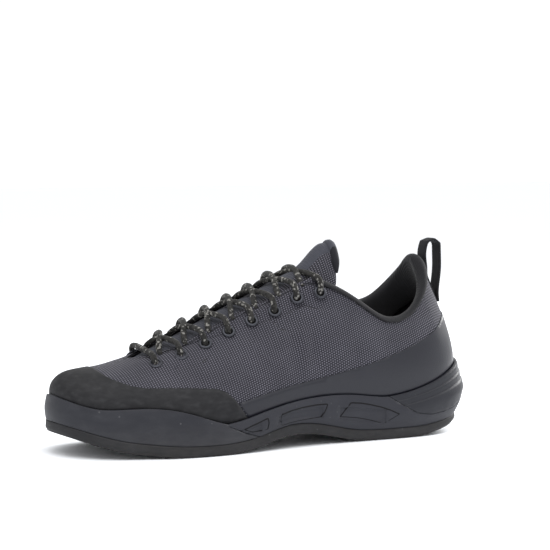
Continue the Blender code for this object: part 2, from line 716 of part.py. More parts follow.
def make_upper():
    """One hollow wall, open underneath, at the throat and at the collar, with its eyelet holes."""
    steps = [(s, s) for s in range(RING_STEPS)]
    upper = wall("upper", steps, under, over, (0.0, -UPPER_WALL), CLOTH, closed=True)
    holes = bmesh.new()
    for side in (-1, 1):
        for number in range(1, EYELETS + 1):
            spot, normal = eyelet_frame(number, side)
            turn = normal.to_track_quat("Z", "Y").to_matrix().to_4x4()
            bmesh.ops.create_cone(holes, cap_ends=True, segments=EYELET_SIDES, radius1=EYELET_HOLE / 2,
                                  radius2=EYELET_HOLE / 2, depth=MARGIN,
                                  matrix=Matrix.Translation(spot) @ turn)
    cut(upper, hide(place("eyelet_holes", holes, None)), "DIFFERENCE")


def film_low(step):
    """Lower edge of the films, just above the sole's edge."""
    return ring(step)["wall"] + FILM_RISE


def cap_height(step):
    """Upper edge of the toe cap, down to the heel film's where they meet."""
    meets = not math.ceil(JOINT[1]) <= step <= RING_STEPS - math.ceil(JOINT[1])
    return ring(step)["film" if meets else "cap"]


def film_height(step):
    return ring(step)["film"]


def make_films():
    """Toe cap and heel film, thin walls on the upper that meet at a leaning joint on each side."""
    offsets = (FILM_GAP + FILM, FILM_GAP)
    low, high = JOINT
    front = [(low + JOINT_GAP, high + JOINT_GAP)]
    back = [(low - JOINT_GAP, high - JOINT_GAP)]
    middle = [(s, s) for s in range(math.ceil(high), RING_STEPS - math.ceil(high) + 1)]
    wall("toe_cap", front + middle + [(RING_STEPS - a, RING_STEPS - b) for a, b in front],
         film_low, cap_height, offsets, COAT)
    middle = [(s, s) for s in range(-math.floor(low), math.floor(low) + 1)]
    wall("heel_film", [(-a, -b) for a, b in back] + middle + back, film_low, film_height, offsets, COAT)


def make_collar():
    """Padded collar hooked over the upper's edge, from one eyestay corner round the heel to the other."""
    sections = []
    inner = -(UPPER_WALL + CLEARANCE)
    for s in range(-COLLAR_STEPS, COLLAR_STEPS + 1):
        fade = min(1.0, (COLLAR_STEPS - abs(s)) / COLLAR_FADE)
        heel = max(0.0, 1.0 - abs(s) / HEEL_WRAP)
        pad = inner - BINDING / 3 - PAD * fade
        deep = PAD_END + (PAD_DEPTH - PAD_END) * fade
        bottom, half = share_from_top(s, deep), share_from_top(s, deep / 2)
        drop = share_from_top(s, BINDING_DROP * (1 + heel))
        binding = BINDING * (1 + heel)
        head, normal = skin(s, 1.0), skin_normal(s, 1.0)
        rise = head - skin(s, NEAR_EDGE)
        rise /= np.linalg.norm(rise)
        sections.append((
            skin(s, drop, CLEARANCE),
            head + CLEARANCE * normal + CLEARANCE * rise,
            head + inner * normal + CLEARANCE * rise,
            skin(s, half, inner),
            skin(s, bottom, inner),
            skin(s, bottom, (inner + pad) / 2),
            skin(s, half, pad),
            head + pad * normal - BINDING * rise,
            head + (inner + pad) / 2 * normal + COLLAR_ROLL * binding * rise,
            head + binding / 2 * normal + binding * rise,
            skin(s, (1.0 + drop) / 2, CLEARANCE + binding),
            skin(s, drop, CLEARANCE + FLAP_EDGE * binding),
        ))
    mesh = bmesh.new()
    weave(mesh, sections, closed=False)
    place("collar", mesh, KNIT)


# The free top of the tongue: place along the sole, height, half width, how far its edges hang
TONGUE_COLUMNS = ("share", "rise", "half", "hang")
TONGUE = (
    (0.408, 1.055, 0.28, 0.24),
    (0.372, 1.155, 0.33, 0.36),
    (0.345, 1.200, 0.34, 0.36),
)


def make_tongue():
    """Tongue under the eyestay, with a free end rolled at the top."""
    sections = []
    depth = UPPER_WALL + TONGUE_GAP
    for s in range(THROAT_STEP, COLLAR_STEPS, -1):
        hems = (TONGUE_HEM if s > COLLAR_STEPS + 2 else TONGUE_HEM / 2, EYESTAY_LIP)
        faces = []
        for deep in (-depth, -depth - TONGUE_THICKNESS):
            left, right = ([Vector(skin(t, share_from_top(t, d), deep)) for d in hems]
                           for t in (s, RING_STEPS - s))
            faces.append((left, right))
        (left, right), (left_low, right_low) = faces
        span = right[-1] - left[-1]
        middle = [left[-1] + span * w + TONGUE_CROWN * span.length * Vector(UP) * (1 - (2 * w - 1) ** 2)
                  for w in (0.25, 0.5, 0.75)]
        low = [point - TONGUE_THICKNESS * Vector(UP) for point in middle]
        sections.append(left + middle + right[::-1] + right_low + low[::-1] + left_low[::-1])
    shift = sections[-1][3][1]
    for row in TONGUE:
        part = dict(zip(TONGUE_COLUMNS, row))
        half = HALF_BALL * part["half"]
        top = []
        for w in np.linspace(-1.0, 1.0, 7):
            top.append(Vector((along(part["share"]) + TONGUE_CURL * half * w * w, shift + half * w,
                               INSTEP_HEIGHT * part["rise"] - half * part["hang"] * w * w)))
        tilt = TONGUE_THICKNESS * Vector(TONGUE_LEAN)
        sections.append(top + [point + tilt for point in reversed(top)])
    roll = Vector((TONGUE_ROLL, 0.0, -CLEARANCE))
    sections.append([point + roll for point in sections[-1]])
    mesh = bmesh.new()
    weave(mesh, sections, closed=False)
    place("tongue", mesh, CLOTH)


def make_insole():
    """Footbed on the midsole's floor, inside the upper's wall."""
    inset = -(UPPER_WALL + 2 * CLEARANCE)
    bottom, top = [], []
    for s in range(RING_STEPS):
        board = ring(s)["board"]
        low = skin(s, 0.0) + (inset - INSOLE_EASE) * outward(s)
        high = skin(s, share_at_height(s, board + INSOLE_THICKNESS)) + (inset - 2 * INSOLE_EASE) * outward(s)
        bottom.append((low[0], low[1], board))
        top.append((high[0], high[1], board + INSOLE_THICKNESS))
    mesh = bmesh.new()
    rings = levels(mesh, (bottom, top))
    ladder(mesh, rings[0])
    ladder(mesh, rings[-1])
    place("insole", mesh, KNIT)


def smooth_run(points, per_span):
    """Points of a smooth curve through the given ones."""
    points = [Vector(p) for p in points]
    ends = [2 * points[0] - points[1]] + points + [2 * points[-1] - points[-2]]
    run = []
    for a, b, c, d in zip(ends, ends[1:], ends[2:], ends[3:]):
        for k in range(per_span):
            t = k / per_span
            run.append(0.5 * (2 * b + (c - a) * t + (2 * a - 5 * b + 4 * c - d) * t * t
                              + (3 * b - a - 3 * c + d) * t ** 3))
    return run + [points[-1]]


def cord(name, points, made=None):
    """A round cord along points that run across the shoe."""
    sections = []
    for index, point in enumerate(points):
        run = (points[min(index + 1, len(points) - 1)] - points[max(index - 1, 0)]).normalized()
        side = (Vector((1.0, 0.0, 0.0)) - run.x * run).normalized()
        rise = run.cross(side)
        turns = [math.tau * k / CORD_SIDES for k in range(CORD_SIDES)]
        sections.append([point + LACE / 2 * (math.cos(t) * side + math.sin(t) * rise) for t in turns])
    mesh = bmesh.new()
    weave(mesh, sections, closed=False)
    return place(name, mesh, made)


def over_edge(number, side):
    """Points of the lace from over the eyestay's edge down to just above an eyelet."""
    step = eyelet_step(number)
    step = step if side < 0 else RING_STEPS - step
    spot, normal = eyelet_frame(number, side)
    lift = LACE / 2 + 2 * BINDING
    above = Vector(skin(step, 1.0)) + lift * (Vector(UP) + normal).normalized() + Vector(UP) * BINDING / 2
    near = Vector(skin(step, share_from_top(step, EYELET_EDGE / 2), lift))
    return [above, near, spot + normal * (EYELET_HEIGHT + LACE_END)]


def from_under(number, side):
    """Point where the lace comes up between the tongue and the eyestay's edge, past an eyelet."""
    step = eyelet_step(number) + LACE_DRIFT * (eyelet_step(number + 1) - eyelet_step(number))
    step = step if side < 0 else RING_STEPS - step
    return Vector(skin(step, 1.0)) + Vector((0.0, -side * LACE_INWARDS * LACE, LACE_RISE * LACE))


def make_laces():
    """Front bar and crossings, each crossing joined where its two strands meet."""
    left, right = over_edge(1, -1), over_edge(1, 1)
    middle = (left[0] + right[0]) / 2 + Vector((0.0, 0.0, LACE))
    cord("lace_bar", smooth_run(left[::-1] + [middle] + right, 2), CORD)
    for number in range(1, EYELETS):
        strands = []
        for side in (-1, 1):
            start = from_under(number, side)
            ahead = over_edge(number + 1, -side)
            middle = (start + ahead[0] + from_under(number, -side) + over_edge(number + 1, side)[0]) / 4
            middle.z += LACE_ARCH
            strands.append(smooth_run([start, middle] + ahead, 2))
        name = "lace_cross_%d" % number
        first = cord(name, strands[0], CORD)
        second = hide(cord(name + "_strand", strands[1]))
        cut(first, second, "UNION")


def make_eyelets():
    """A low metal ring on each eyelet hole."""
    inner, outer = EYELET_HOLE / 2, EYELET_RIM / 2
    seat = 2 * CLEARANCE
    profile = ((inner, seat), (outer, seat), ((inner + outer) / 2, seat + EYELET_HEIGHT))
    for side, word in ((-1, "lateral"), (1, "medial")):
        for number in range(1, EYELETS + 1):
            spot, normal = eyelet_frame(number, side)
            mesh = bmesh.new()
            sections = []
            for k in range(EYELET_SIDES):
                turn = math.tau * k / EYELET_SIDES
                sections.append([(r * math.cos(turn), r * math.sin(turn), z) for r, z in profile])
            weave(mesh, sections, closed=True)
            ring_piece = place("eyelet_%s_%d" % (word, number), mesh, METAL)
            ring_piece.location = spot
            ring_piece.rotation_euler = normal.to_track_quat("Z", "Y").to_euler()


# The pull loop's strip from its inner to its outer end: how far it stands behind the heel,
# a share of the loop's reach, and its height
LOOP_COLUMNS = ("back", "rise")
LOOP = (
    (0.00, 0.735), (0.00, 0.80), (0.00, 0.87), (0.00, 0.895), (0.00, 0.935), (0.00, 0.985), (0.00, 1.040),
    (0.14, 1.085), (0.54, 1.100), (0.85, 1.075), (0.86, 1.010), (0.80, 0.935), (0.66, 0.870),
    (0.25, 0.790), (0.12, 0.735),
)


def heel_back(height):
    """X of the shoe's back at a height; the collar's flap stands out from the upper near its top."""
    share = share_at_height(0, min(height, NEAR_EDGE * HEEL_HEIGHT))
    flap = skin(0, share_from_top(0, 2 * BINDING_DROP))[2]
    stand = CLEARANCE + 2 * BINDING
    spread = FLAP_SPREAD * BINDING_DROP
    return skin(0, share)[0] + np.interp(height, (flap - spread, flap - CLEARANCE), (0.0, stand))


def make_pull_loop():
    """Webbing strip standing behind the heel, folded over at the top and sewn below."""
    run = []
    for row in LOOP:
        part = dict(zip(LOOP_COLUMNS, row))
        height = HEEL_HEIGHT * part["rise"]
        back = CLEARANCE + LOOP_THICKNESS / 2 + LOOP_REACH * part["back"]
        run.append(Vector((heel_back(height) + back, 0.0, height)))
    sections = []
    for index, point in enumerate(run):
        tangent = (run[min(index + 1, len(run) - 1)] - run[max(index - 1, 0)]).normalized()
        square = Vector((tangent.z, 0.0, -tangent.x)) * LOOP_THICKNESS / 2
        across = Vector((0.0, LOOP_WIDTH / 2, 0.0))
        sections.append((point + square - across, point - square - across,
                         point - square + across, point + square + across))
    mesh = bmesh.new()
    weave(mesh, sections, closed=False)
    place("pull_loop", mesh, KNIT, flat=True)


make_outsole()
make_sole_layers()
make_upper()
make_films()
make_collar()
make_tongue()
make_insole()
make_laces()
make_eyelets()
make_pull_loop()
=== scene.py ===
import math

import bmesh
import bpy
import numpy as np
from mathutils import Matrix, Vector
from mathutils.bvhtree import BVHTree
from mathutils.kdtree import KDTree


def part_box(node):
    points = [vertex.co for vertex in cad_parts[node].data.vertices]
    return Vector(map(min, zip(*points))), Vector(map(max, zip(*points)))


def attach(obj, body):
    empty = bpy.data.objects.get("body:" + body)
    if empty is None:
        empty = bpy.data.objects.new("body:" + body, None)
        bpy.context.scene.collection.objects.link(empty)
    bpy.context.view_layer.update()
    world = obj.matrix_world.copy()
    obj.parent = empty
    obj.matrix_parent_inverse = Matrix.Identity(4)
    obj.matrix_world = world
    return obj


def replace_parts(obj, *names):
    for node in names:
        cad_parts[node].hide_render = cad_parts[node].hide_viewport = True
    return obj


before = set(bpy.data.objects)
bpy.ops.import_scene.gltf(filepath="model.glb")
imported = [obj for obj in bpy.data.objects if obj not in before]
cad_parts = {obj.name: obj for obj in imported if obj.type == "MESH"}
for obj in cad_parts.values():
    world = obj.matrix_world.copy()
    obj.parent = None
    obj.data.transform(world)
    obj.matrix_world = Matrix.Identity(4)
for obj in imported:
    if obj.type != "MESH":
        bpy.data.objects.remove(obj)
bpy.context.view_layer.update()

# Camera: a long lens low in front of the toe, looking at the outer side.
# The photograph's view turns the shoe about 27 degrees and looks down on it by 4 degrees.
turn = math.radians(26.9)
tilt = math.radians(4.0)
distance = 1.30
photo_pixels = 550
pixels_per_metre = 1531
sole_middle = Vector((-0.0035, 0.0, 0.0))
sole_middle_column, sole_middle_row = 258, 440
to_right = Vector((math.cos(turn), -math.sin(turn), 0.0))
ahead = Vector((math.sin(turn) * math.cos(tilt), math.cos(turn) * math.cos(tilt), -math.sin(tilt)))
upwards = to_right.cross(ahead)
off_x = (sole_middle_column - photo_pixels / 2) / (pixels_per_metre * distance)
off_y = (photo_pixels / 2 - sole_middle_row) / (pixels_per_metre * distance)
stand = sole_middle - distance * (ahead + off_x * to_right + off_y * upwards)
lens = bpy.data.cameras.new("camera")
lens.sensor_width = 36.0
lens.lens = lens.sensor_width * pixels_per_metre * distance / photo_pixels
lens.clip_start = 0.05
camera = bpy.data.objects.new("camera", lens)
camera.matrix_world = Matrix((
    (to_right.x, upwards.x, -ahead.x, stand.x),
    (to_right.y, upwards.y, -ahead.y, stand.y),
    (to_right.z, upwards.z, -ahead.z, stand.z),
    (0.0, 0.0, 0.0, 1.0)))
bpy.context.scene.collection.objects.link(camera)
bpy.context.scene.camera = camera
bpy.context.scene.view_settings.view_transform = "Standard"

# Studio: a pale floor under an even white tent, one big soft lamp above and one behind.
# The floor's paper is slightly blue, as in the photograph.
world = bpy.data.worlds.new("tent")
world.use_nodes = True
tent = world.node_tree.nodes["Background"]
tent.inputs["Color"].default_value = (1.0, 1.0, 1.0, 1.0)
tent.inputs["Strength"].default_value = 1.05
bpy.context.scene.world = world
for name, place, aim, size, watts in (("lamp_above", (-0.35, -0.55, 1.25), (0.0, 0.0, 0.0), 1.1, 14.0),
                                      ("lamp_behind", (0.95, 0.20, 0.60), (0.10, 0.0, 0.05), 0.6, 13.0)):
    light = bpy.data.lights.new(name, "AREA")
    light.size = size
    light.energy = watts
    lamp = bpy.data.objects.new(name, light)
    lamp.location = place
    lamp.rotation_euler = (Vector(place) - Vector(aim)).to_track_quat("Z", "Y").to_euler()
    bpy.context.scene.collection.objects.link(lamp)
ground = bmesh.new()
bmesh.ops.create_grid(ground, x_segments=4, y_segments=4, size=6.0)
floor_mesh = bpy.data.meshes.new("floor")
ground.to_mesh(floor_mesh)
ground.free()
floor = bpy.data.objects.new("floor", floor_mesh)
bpy.context.scene.collection.objects.link(floor)
paper = bpy.data.materials.new("floor_paper")
paper.use_nodes = True
paper_shader = paper.node_tree.nodes["Principled BSDF"]
paper_shader.inputs["Base Color"].default_value = (0.935, 0.955, 0.985, 1.0)
paper_shader.inputs["Roughness"].default_value = 0.7
floor_mesh.materials.append(paper)

# Upper: one hollow woven shell drawn over the last, light dashes of thread in slanting columns on a dark
# slate ground, with a dark mesh lining. Its throat is folded under and sewn, and 16 eyelets go through it.


def merged(node, weld=2e-5):
    """A copy of a solid's mesh with its points merged and its triangles joined into quads."""
    mesh = bmesh.new()
    mesh.from_mesh(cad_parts[node].data)
    bmesh.ops.remove_doubles(mesh, verts=mesh.verts, dist=weld)
    bmesh.ops.join_triangles(mesh, faces=mesh.faces, angle_face_threshold=math.radians(50),
                             angle_shape_threshold=math.radians(130))
    return mesh


def piece_from(mesh, name):
    """A new object at the origin from a mesh under edit."""
    made = bpy.data.meshes.new(name)
    mesh.to_mesh(made)
    mesh.free()
    made.shade_smooth()
    thing = bpy.data.objects.new(name, made)
    bpy.context.scene.collection.objects.link(thing)
    return thing


def round_off(thing, crease, angle, levels=2):
    """Smooth a piece by subdivision; a crease holds the edges that turn by more than the angle in degrees."""
    mesh = bmesh.new()
    mesh.from_mesh(thing.data)
    layer = mesh.edges.layers.float.new("crease_edge")
    for edge in mesh.edges:
        if len(edge.link_faces) == 2 and edge.calc_face_angle() > math.radians(angle):
            edge[layer] = crease
    mesh.to_mesh(thing.data)
    mesh.free()
    smooth = thing.modifiers.new("round", "SUBSURF")
    smooth.levels = smooth.render_levels = levels
    smooth.boundary_smooth = "PRESERVE_CORNERS"
    done = bpy.data.meshes.new_from_object(thing.evaluated_get(bpy.context.evaluated_depsgraph_get()))
    thing.modifiers.clear()
    old = thing.data
    thing.data = done
    bpy.data.meshes.remove(old)
    thing.data.name = thing.name
    thing.data.shade_smooth()
    return thing


def tree_of(thing):
    """A search tree of a piece's surface."""
    mesh = bmesh.new()
    mesh.from_mesh(thing.data)
    found = BVHTree.FromBMesh(mesh)
    mesh.free()
    return found


def calc(tree, operation, a, b=0.0, c=0.0):
    """One sum in a material; each value is a number or another node's output."""
    made = tree.nodes.new("ShaderNodeMath")
    made.operation = operation
    for socket, value in zip(made.inputs, (a, b, c)):
        if isinstance(value, bpy.types.NodeSocket):
            tree.links.new(value, socket)
        else:
            socket.default_value = value
    return made.outputs[0]


def mix(tree, share, low, high):
    """A colour between two, each a colour or another node's output."""
    made = tree.nodes.new("ShaderNodeMix")
    made.data_type = "RGBA"
    low_socket, high_socket = (socket for socket in made.inputs if socket.type == "RGBA")
    for socket, value in ((made.inputs[0], share), (low_socket, low), (high_socket, high)):
        if isinstance(value, bpy.types.NodeSocket):
            tree.links.new(value, socket)
        else:
            socket.default_value = value if isinstance(value, float) else (*value, 1.0)
    return next(socket for socket in made.outputs if socket.type == "RGBA")


def shoe_place(tree):
    """A point's place on the shoe, from its object coordinates."""
    return tree.nodes.new("ShaderNodeTexCoord").outputs["Object"]


def noise(tree, scale, detail=3.0, stretch=(1.0, 1.0, 1.0)):
    """Soft noise in the shoe's own coordinates."""
    fit = tree.nodes.new("ShaderNodeMapping")
    fit.inputs["Scale"].default_value = stretch
    tree.links.new(shoe_place(tree), fit.inputs["Vector"])
    made = tree.nodes.new("ShaderNodeTexNoise")
    made.inputs["Scale"].default_value = scale
    made.inputs["Detail"].default_value = detail
    tree.links.new(fit.outputs[0], made.inputs["Vector"])
    return made.outputs["Fac"]


def start(name, roughness, gloss=0.22):
    """A new material with its shader."""
    made = bpy.data.materials.new(name)
    made.use_nodes = True
    shader = made.node_tree.nodes["Principled BSDF"]
    shader.inputs["Roughness"].default_value = roughness
    shader.inputs["Specular IOR Level"].default_value = gloss
    return made, made.node_tree, shader


def nap(shader, weight, roughness):
    """The faint sheen of a fabric's loose fibres."""
    shader.inputs["Sheen Weight"].default_value = weight
    shader.inputs["Sheen Roughness"].default_value = roughness


def raise_by(tree, shader, height, strength, deep):
    """Bump from a height."""
    bump = tree.nodes.new("ShaderNodeBump")
    bump.inputs["Strength"].default_value = strength
    bump.inputs["Distance"].default_value = deep
    tree.links.new(height, bump.inputs["Height"])
    tree.links.new(bump.outputs[0], shader.inputs["Normal"])


# The cloth: its two colours, the spacing of its columns and of the dashes in them, and how far the seam
# along the throat lies from the edge. Round the heel the map follows an arc about heel_centre.
slate_ground = (0.0065, 0.0065, 0.0095)
light_thread = (0.150, 0.145, 0.175)
thread_contrast = 1.6
column_mm = 1.62
dash_mm = 1.75
column_slant = 0.10
seam_mm = 2.3
heel_centre, heel_bend = 0.095, 0.032
flank_slant = 0.8


def weave_heights(tree):
    """Light dashes of thread from the piece's cloth map, each column half a dash behind the one beside it."""
    cloth_place = tree.nodes.new("ShaderNodeUVMap")
    cloth_place.uv_map = "cloth"
    parts = tree.nodes.new("ShaderNodeSeparateXYZ")
    tree.links.new(cloth_place.outputs[0], parts.inputs[0])
    around, up = parts.outputs[0], parts.outputs[1]
    slanted = calc(tree, "ADD", around, calc(tree, "MULTIPLY", up, column_slant))
    column = calc(tree, "DIVIDE", slanted, column_mm)
    dash = calc(tree, "ADD", calc(tree, "DIVIDE", up, dash_mm),
                calc(tree, "MULTIPLY", calc(tree, "FLOOR", column), 0.5))
    across = calc(tree, "MULTIPLY", calc(tree, "PINGPONG", column, 0.5), 2.4)
    down = calc(tree, "MULTIPLY", calc(tree, "PINGPONG", dash, 0.5), 2.2)
    return calc(tree, "MULTIPLY", calc(tree, "SMOOTH_MIN", across, 1.0, 0.2),
                calc(tree, "SMOOTH_MIN", down, 1.0, 0.2))


def cloth_map(thing):
    """Lay the cloth's map on a piece, in millimetres: round the shoe and up its sides."""
    layer = thing.data.uv_layers.new(name="cloth")
    for loop in thing.data.loops:
        x, y, z = thing.data.vertices[loop.vertex_index].co
        around = x
        if x >= heel_centre:
            around = heel_centre + heel_bend * (math.pi / 2 - math.atan2(abs(y), x - heel_centre))
        layer.data[loop.index].uv = (around * 1000, (z - flank_slant * abs(y)) * 1000)


def woven_cloth():
    """Dashed columns with a pressed seam along the throat's edge, darkened there with painted shade, and a
    paler bloom in patches.
    """
    made, tree, shader = start("woven_cloth", roughness=0.78)
    nap(shader, weight=0.05, roughness=0.45)
    threads = weave_heights(tree)
    patchy = calc(tree, "MULTIPLY_ADD", noise(tree, scale=55.0), 0.8, 0.6)
    shown = calc(tree, "MULTIPLY", calc(tree, "POWER", threads, thread_contrast), patchy)
    edge = tree.nodes.new("ShaderNodeAttribute")
    edge.attribute_name = "edge_mm"
    from_seam = calc(tree, "ABSOLUTE", calc(tree, "SUBTRACT", edge.outputs["Fac"], seam_mm))
    off_seam = calc(tree, "SMOOTH_MIN", calc(tree, "MULTIPLY", from_seam, 1.6), 1.0, 0.2)
    colour = mix(tree, shown, slate_ground, light_thread)
    # painted shade: the cloth turns near black along the pressed seam's groove
    colour = mix(tree, calc(tree, "MAXIMUM", off_seam, 0.0), (0.004, 0.004, 0.006), colour)
    bloom = calc(tree, "MULTIPLY", noise(tree, scale=14.0), 0.10)
    tree.links.new(mix(tree, bloom, colour, (0.075, 0.080, 0.110)), shader.inputs["Base Color"])
    height = calc(tree, "ADD", threads, calc(tree, "MULTIPLY", off_seam, 2.0))
    raise_by(tree, shader, height, strength=0.8, deep=0.00035)
    return made


def lining_mesh():
    """Black spacer mesh with small open cells."""
    made, tree, shader = start("lining_mesh", roughness=0.92)
    cells = tree.nodes.new("ShaderNodeTexVoronoi")
    cells.inputs["Scale"].default_value = 420.0
    tree.links.new(mix(tree, cells.outputs["Distance"], (0.002, 0.002, 0.003), (0.008, 0.008, 0.010)),
                   shader.inputs["Base Color"])
    raise_by(tree, shader, cells.outputs["Distance"], strength=0.6, deep=0.0005)
    return made


lining = lining_mesh()
cloth = woven_cloth()

lace_pairs = 8
eyelets = {}
for side in ("lateral", "medial"):
    for number in range(1, lace_pairs + 1):
        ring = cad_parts["eyelet_%s_%d" % (side, number)].data
        points = np.array([v.co for v in ring.vertices])
        middle = points.mean(0)
        normal = np.linalg.svd(points - middle)[2][2]
        normal = normal if normal[2] > 0 else -normal
        eyelets[side, number] = (Vector(middle), Vector(normal))


# How far from an eyelet's middle its hole's rim, the ring itself and the smoothed cloth round it reach
hole_rim_reach, eyelet_reach, smoothed_reach = 0.00385, 0.006, 0.0072
smoothing_rounds = 12
turn_at_edge, turn_at_throat = math.radians(50), math.radians(55)
above_sole = 0.045
throat_steps = 6


def near_eyelet(point, reach):
    """Whether a point lies within this reach of an eyelet's middle."""
    return any((point - spot).length < reach for spot, _ in eyelets.values())


def outer_faces(mesh):
    """The faces that are reached from the back of the heel without a turn over an edge."""
    reached = [max(mesh.faces, key=lambda face: face.calc_center_median().x)]
    found = set(reached)
    while reached:
        face = reached.pop()
        for edge in face.edges:
            if len(edge.link_faces) == 2 and edge.calc_face_angle() < turn_at_edge:
                for other in edge.link_faces:
                    if other not in found:
                        found.add(other)
                        reached.append(other)
    return found


def throat_points(mesh):
    """Points along the sharp edges of the throat and the collar's opening, above the sole."""
    found = []
    for edge in mesh.edges:
        if len(edge.link_faces) == 2 and edge.calc_face_angle() > turn_at_throat:
            a, b = (v.co.copy() for v in edge.verts)
            if min(a.z, b.z) > above_sole and not near_eyelet(a, eyelet_reach):
                found += [a.lerp(b, step / throat_steps) for step in range(throat_steps + 1)]
    return found


# The eyelet holes are closed and smoothed over, because the rings and the holes in them are separate pieces
shell = merged("upper")
hole_rims = [v for v in shell.verts if near_eyelet(v.co, hole_rim_reach)]
bmesh.ops.delete(shell, geom=hole_rims, context="VERTS")
bmesh.ops.holes_fill(shell, edges=[e for e in shell.edges if e.is_boundary], sides=0)
bmesh.ops.recalc_face_normals(shell, faces=shell.faces)
outside = outer_faces(shell)
for face in shell.faces:
    face.material_index = 0 if face in outside else 1
throat = throat_points(shell)
upper = round_off(piece_from(shell, "woven_upper"), crease=0.55, angle=50)
shell = bmesh.new()
shell.from_mesh(upper.data)
round_eyelets = [v for v in shell.verts if near_eyelet(v.co, smoothed_reach)]
for _ in range(smoothing_rounds):
    bmesh.ops.smooth_vert(shell, verts=round_eyelets, factor=0.5, use_axis_x=True, use_axis_y=True,
                          use_axis_z=True)
shell.to_mesh(upper.data)
shell.free()

# Soft troughs (depth below 0) and ridges in the cloth: low end, high end, width and depth
CREASES = (
    ((0.006, -0.040, 0.046), (0.004, -0.030, 0.084), 0.0035, -0.0008),
    ((0.013, -0.040, 0.050), (0.012, -0.030, 0.086), 0.0035, 0.0006),
    ((0.020, -0.040, 0.046), (0.020, -0.030, 0.082), 0.0035, -0.0007),
    ((0.046, -0.038, 0.042), (0.052, -0.034, 0.066), 0.0045, -0.0006),
    ((-0.060, -0.046, 0.040), (-0.066, -0.030, 0.052), 0.0040, -0.0005),
    ((-0.030, -0.045, 0.040), (-0.028, -0.036, 0.058), 0.0045, -0.0005),
    ((0.008, 0.036, 0.046), (0.006, 0.028, 0.084), 0.0040, -0.0008),
    ((0.024, 0.036, 0.046), (0.022, 0.028, 0.082), 0.0040, -0.0006),
    ((-0.050, 0.046, 0.038), (-0.056, 0.032, 0.054), 0.0045, -0.0006),
    ((0.070, 0.036, 0.040), (0.080, 0.034, 0.062), 0.0050, -0.0006),
)


def crease_cloth(thing, rows):
    """Press soft folds into a piece along its own normals, fading out at both ends."""
    points = np.array([v.co for v in thing.data.vertices])
    normals = np.array([v.normal for v in thing.data.vertices])
    for low, high, width, depth in rows:
        low, high = np.array(low), np.array(high)
        run = high - low
        share = np.clip((points - low) @ run / (run @ run), 0.0, 1.0)
        away = np.linalg.norm(points - low - share[:, None] * run, axis=1)
        fade = np.sin(np.pi * (share * 0.8 + 0.1))
        facing = np.sign(normals @ np.array((0.0, np.sign(low[1]), 0.0)))
        points += normals * (facing * depth * fade * np.exp(-(away / width) ** 2))[:, None]
    thing.data.vertices.foreach_set("co", points.ravel())
    thing.data.update()


crease_cloth(upper, CREASES)
near_throat = KDTree(len(throat))
for index, point in enumerate(throat):
    near_throat.insert(point, index)
near_throat.balance()
edge_mm = upper.data.attributes.new("edge_mm", "FLOAT", "POINT")
edge_mm.data.foreach_set("value", [near_throat.find(v.co)[2] * 1000 for v in upper.data.vertices])
cloth_map(upper)
upper.data.materials.append(cloth)
upper.data.materials.append(lining)
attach(upper, "root")
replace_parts(upper, "upper")

# Toe cap and heel film: thin coats bonded to the cloth, the cap matt and scuffed at the toe,
# the heel film smooth with a soft gloss. Both run down behind the edge of the sole.
coat_lift = 0.00055
coat_thickness = 0.0005
bonded_within = 0.0009
beside_sole, tuck_down = 0.0022, 0.0024
upper_surface = tree_of(upper)
solid_upper = tree_of(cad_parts["upper"])
sole_surfaces = [tree_of(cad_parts[name]) for name in ("midsole", "toe_bumper", "heel_clip")]


def coat_material(name, colour, roughness, scuffed, gloss):
    """A rubbery coat with fine grain, cloudy tone and pale scuffs."""
    made, tree, shader = start(name, roughness, gloss)
    grain = noise(tree, scale=900.0, detail=2.0)
    cloudy = noise(tree, scale=30.0, detail=4.0)
    scuffs = calc(tree, "POWER", noise(tree, scale=160.0, detail=6.0, stretch=(1.0, 1.0, 2.0)), 3.0)
    darker = tuple(value * 0.72 for value in colour)
    tone = mix(tree, cloudy, darker, colour)
    tree.links.new(mix(tree, calc(tree, "MULTIPLY", scuffs, scuffed), tone, (0.12, 0.12, 0.125)),
                   shader.inputs["Base Color"])
    tree.links.new(calc(tree, "MULTIPLY_ADD", cloudy, 0.25, roughness - 0.12), shader.inputs["Roughness"])
    height = calc(tree, "ADD", grain, calc(tree, "MULTIPLY", cloudy, 0.6))
    raise_by(tree, shader, height, strength=0.30, deep=0.00025)
    return made


def coat(node, name, finish):
    """A thin coat on the dressed upper where the solid coat lies, its lower edge tucked behind the sole."""
    mesh = merged(node)
    inner = [f for f in mesh.faces if min(solid_upper.find_nearest(v.co)[3] for v in f.verts) < bonded_within]
    bmesh.ops.delete(mesh, geom=inner, context="FACES")
    for vert in mesh.verts:
        to_sole = min(surface.find_nearest(vert.co)[3] for surface in sole_surfaces)
        if vert.is_boundary and to_sole < beside_sole:
            vert.co.z -= tuck_down
    thing = round_off(piece_from(mesh, name), crease=0.0, angle=170)
    for vert in thing.data.vertices:
        spot, normal, _, _ = upper_surface.find_nearest(vert.co)
        outwards = normal if normal.dot(vert.co - spot) > 0 else -normal
        vert.co = spot + outwards * coat_lift
    thin = thing.modifiers.new("thick", "SOLIDIFY")
    thin.thickness = coat_thickness
    thin.offset = -1.0
    thing.data.materials.append(finish)
    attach(thing, "root")
    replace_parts(thing, node)


coat("toe_cap", "toe_cap_coat",
     coat_material("cap_coat", (0.0105, 0.0105, 0.0120), roughness=0.66, scuffed=0.35, gloss=0.18))
coat("heel_film", "heel_coat",
     coat_material("heel_coat", (0.0120, 0.0125, 0.0185), roughness=0.42, scuffed=0.02, gloss=0.32))

# Sole: a dark moulded foam midsole with sunk side panels, a slate rubber bumper round the toe,
# a ribbed clip round the heel and a near-black outsole with lugs, all cemented together.


